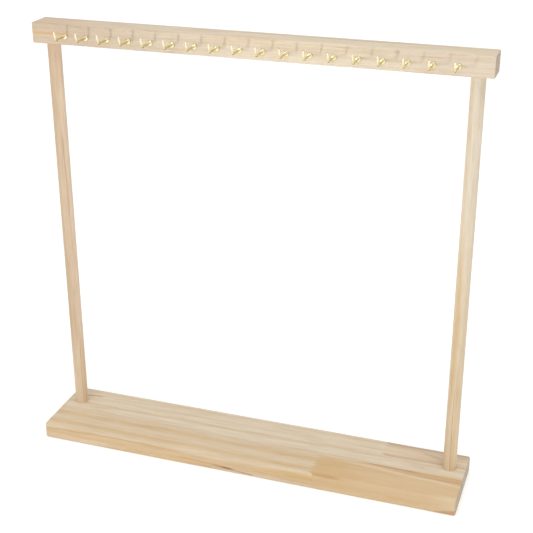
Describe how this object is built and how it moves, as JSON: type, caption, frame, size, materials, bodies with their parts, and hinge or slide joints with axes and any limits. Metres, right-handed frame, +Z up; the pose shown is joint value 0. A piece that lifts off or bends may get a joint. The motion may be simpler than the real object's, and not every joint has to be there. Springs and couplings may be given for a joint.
{
  "type": "hook rail loom stand",
  "caption": "Tabletop loom stand: a wooden base board, two dowel posts and a rail with a row of brass screw hooks that hold hanging threads for stringing and braiding.",
  "frame": {"origin": "middle of the base board's underside", "axes": "+Z up, +X along the rail and the base to the right of someone who faces the hooks, -Y towards that person"},
  "size_m": [0.402, 0.074, 0.398],
  "materials": {
    "pine_board": "edge-glued, finger-jointed pine, sanded and lightly waxed",
    "pine_dowel": "turned pine dowel, sanded",
    "pine_rail": "planed pine, sanded, eased edges",
    "brass": "bright polished brass",
    "zinc_steel": "bright zinc plated steel"
  },
  "bodies": {
    "frame": {"base_board": "pine_board", "left_post": "pine_dowel", "right_post": "pine_dowel", "top_rail": "pine_rail", "left_base_screw": "zinc_steel", "right_base_screw": "zinc_steel"},
    "hook_01_body": {"hook_01": "brass"},
    "hook_02_body": {"hook_02": "brass"},
    "hook_03_body": {"hook_03": "brass"},
    "hook_04_body": {"hook_04": "brass"},
    "hook_05_body": {"hook_05": "brass"},
    "hook_06_body": {"hook_06": "brass"},
    "hook_07_body": {"hook_07": "brass"},
    "hook_08_body": {"hook_08": "brass"},
    "hook_09_body": {"hook_09": "brass"},
    "hook_10_body": {"hook_10": "brass"},
    "hook_11_body": {"hook_11": "brass"},
    "hook_12_body": {"hook_12": "brass"},
    "hook_13_body": {"hook_13": "brass"},
    "hook_14_body": {"hook_14": "brass"},
    "hook_15_body": {"hook_15": "brass"},
    "hook_16_body": {"hook_16": "brass"},
    "hook_17_body": {"hook_17": "brass"},
    "hook_18_body": {"hook_18": "brass"}
  },
  "joints": [
    {"name": "hook_01_turn", "type": "hinge", "parent": "frame", "child": "hook_01_body", "pos_m": [-0.1682, 0.0002, 0.3875], "axis": [0, -1, 0], "range_deg": [0, 180]},
    {"name": "hook_02_turn", "type": "hinge", "parent": "frame", "child": "hook_02_body", "pos_m": [-0.1482, 0.0002, 0.3875], "axis": [0, -1, 0], "range_deg": [0, 180]},
    {"name": "hook_03_turn", "type": "hinge", "parent": "frame", "child": "hook_03_body", "pos_m": [-0.1282, 0.0002, 0.3875], "axis": [0, -1, 0], "range_deg": [0, 180]},
    {"name": "hook_04_turn", "type": "hinge", "parent": "frame", "child": "hook_04_body", "pos_m": [-0.1082, 0.0002, 0.3875], "axis": [0, -1, 0], "range_deg": [0, 180]},
    {"name": "hook_05_turn", "type": "hinge", "parent": "frame", "child": "hook_05_body", "pos_m": [-0.0882, 0.0002, 0.3875], "axis": [0, -1, 0], "range_deg": [0, 180]},
    {"name": "hook_06_turn", "type": "hinge", "parent": "frame", "child": "hook_06_body", "pos_m": [-0.0682, 0.0002, 0.3875], "axis": [0, -1, 0], "range_deg": [0, 180]},
    {"name": "hook_07_turn", "type": "hinge", "parent": "frame", "child": "hook_07_body", "pos_m": [-0.0482, 0.0002, 0.3875], "axis": [0, -1, 0], "range_deg": [0, 180]},
    {"name": "hook_08_turn", "type": "hinge", "parent": "frame", "child": "hook_08_body", "pos_m": [-0.0282, 0.0002, 0.3875], "axis": [0, -1, 0], "range_deg": [0, 180]},
    {"name": "hook_09_turn", "type": "hinge", "parent": "frame", "child": "hook_09_body", "pos_m": [-0.0082, 0.0002, 0.3875], "axis": [0, -1, 0], "range_deg": [0, 180]},
    {"name": "hook_10_turn", "type": "hinge", "parent": "frame", "child": "hook_10_body", "pos_m": [0.0118, 0.0002, 0.3875], "axis": [0, -1, 0], "range_deg": [0, 180]},
    {"name": "hook_11_turn", "type": "hinge", "parent": "frame", "child": "hook_11_body", "pos_m": [0.0318, 0.0002, 0.3875], "axis": [0, -1, 0], "range_deg": [0, 180]},
    {"name": "hook_12_turn", "type": "hinge", "parent": "frame", "child": "hook_12_body", "pos_m": [0.0518, 0.0002, 0.3875], "axis": [0, -1, 0], "range_deg": [0, 180]},
    {"name": "hook_13_turn", "type": "hinge", "parent": "frame", "child": "hook_13_body", "pos_m": [0.0718, 0.0002, 0.3875], "axis": [0, -1, 0], "range_deg": [0, 180]},
    {"name": "hook_14_turn", "type": "hinge", "parent": "frame", "child": "hook_14_body", "pos_m": [0.0918, 0.0002, 0.3875], "axis": [0, -1, 0], "range_deg": [0, 180]},
    {"name": "hook_15_turn", "type": "hinge", "parent": "frame", "child": "hook_15_body", "pos_m": [0.1118, 0.0002, 0.3875], "axis": [0, -1, 0], "range_deg": [0, 180]},
    {"name": "hook_16_turn", "type": "hinge", "parent": "frame", "child": "hook_16_body", "pos_m": [0.1318, 0.0002, 0.3875], "axis": [0, -1, 0], "range_deg": [0, 180]},
    {"name": "hook_17_turn", "type": "hinge", "parent": "frame", "child": "hook_17_body", "pos_m": [0.1518, 0.0002, 0.3875], "axis": [0, -1, 0], "range_deg": [0, 180]},
    {"name": "hook_18_turn", "type": "hinge", "parent": "frame", "child": "hook_18_body", "pos_m": [0.1718, 0.0002, 0.3875], "axis": [0, -1, 0], "range_deg": [0, 180]}
  ]
}
